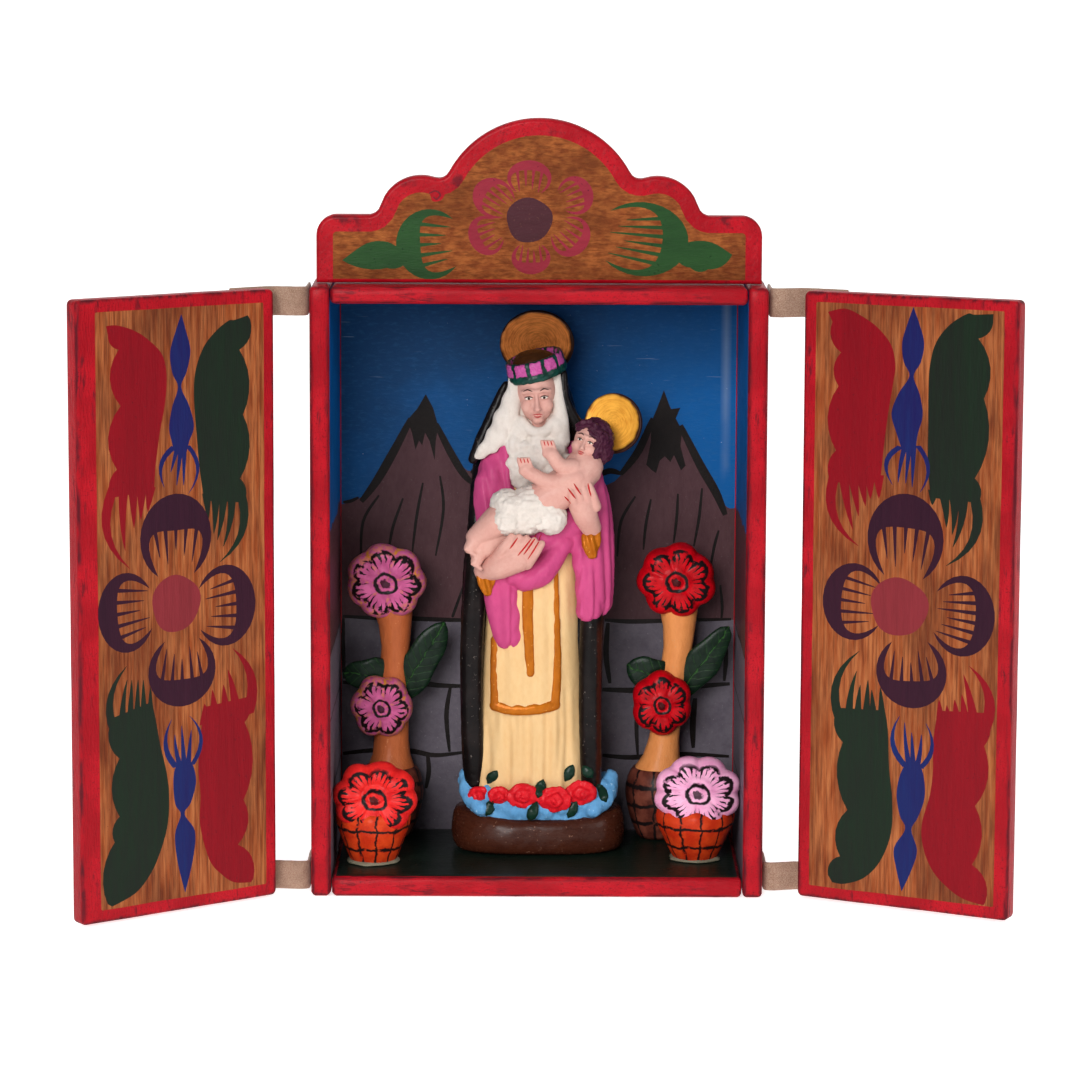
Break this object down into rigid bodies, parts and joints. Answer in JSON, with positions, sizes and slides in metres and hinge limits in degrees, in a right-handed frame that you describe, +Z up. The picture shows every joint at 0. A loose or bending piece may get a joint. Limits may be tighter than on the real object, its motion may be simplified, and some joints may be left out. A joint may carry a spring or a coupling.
{
  "type": "retablo",
  "caption": "Small painted wooden altar box with a scalloped crest, two doors on suede straps, a moulded veiled figure holding a child, and moulded potted flowers.",
  "frame": {"origin": "centre of the case's underside", "axes": "+Z up, +Y from the open front to the back panel, +X to the right of someone looking in"},
  "size_m": [0.2479, 0.1002, 0.2098],
  "materials": {
    "red_painted_board": "brushed scarlet paint worn to a dark ground",
    "painted_backdrop": "flat paint",
    "stained_wood": "honey-brown stain with painted ornament under satin varnish",
    "tan_suede": "suede",
    "painted_plaster": "satin paint over moulded plaster paste",
    "bronze_gold_paint": "bronze-gold paint",
    "bright_gold_paint": "gold paint"
  },
  "bodies": {
    "case": {"left_side_board": "red_painted_board", "right_side_board": "red_painted_board", "top_board": "red_painted_board", "bottom_board": "red_painted_board", "back_panel": "painted_backdrop", "crest_board": "stained_wood", "left_upper_strap": "tan_suede", "left_lower_strap": "tan_suede", "right_upper_strap": "tan_suede", "right_lower_strap": "tan_suede", "saint_and_child": "painted_plaster", "saint_halo": "bronze_gold_paint", "child_halo": "bright_gold_paint", "left_tall_flower": "painted_plaster", "right_tall_flower": "painted_plaster", "left_small_flower": "painted_plaster", "right_small_flower": "painted_plaster"},
    "left_door": {"left_door": "stained_wood"},
    "right_door": {"right_door": "stained_wood"}
  },
  "joints": [
    {"name": "left_door_swing", "type": "hinge", "parent": "case", "child": "left_door", "pos_m": [-0.0654, -0.0309, 0], "axis": [0, 0, 1], "range_deg": [-94, 143.4], "deforming": ["left_upper_strap", "left_lower_strap"]},
    {"name": "right_door_swing", "type": "hinge", "parent": "case", "child": "right_door", "pos_m": [0.0654, -0.0309, 0], "axis": [0, 0, 1], "range_deg": [-152.8, 85], "deforming": ["right_upper_strap", "right_lower_strap"]}
  ]
}
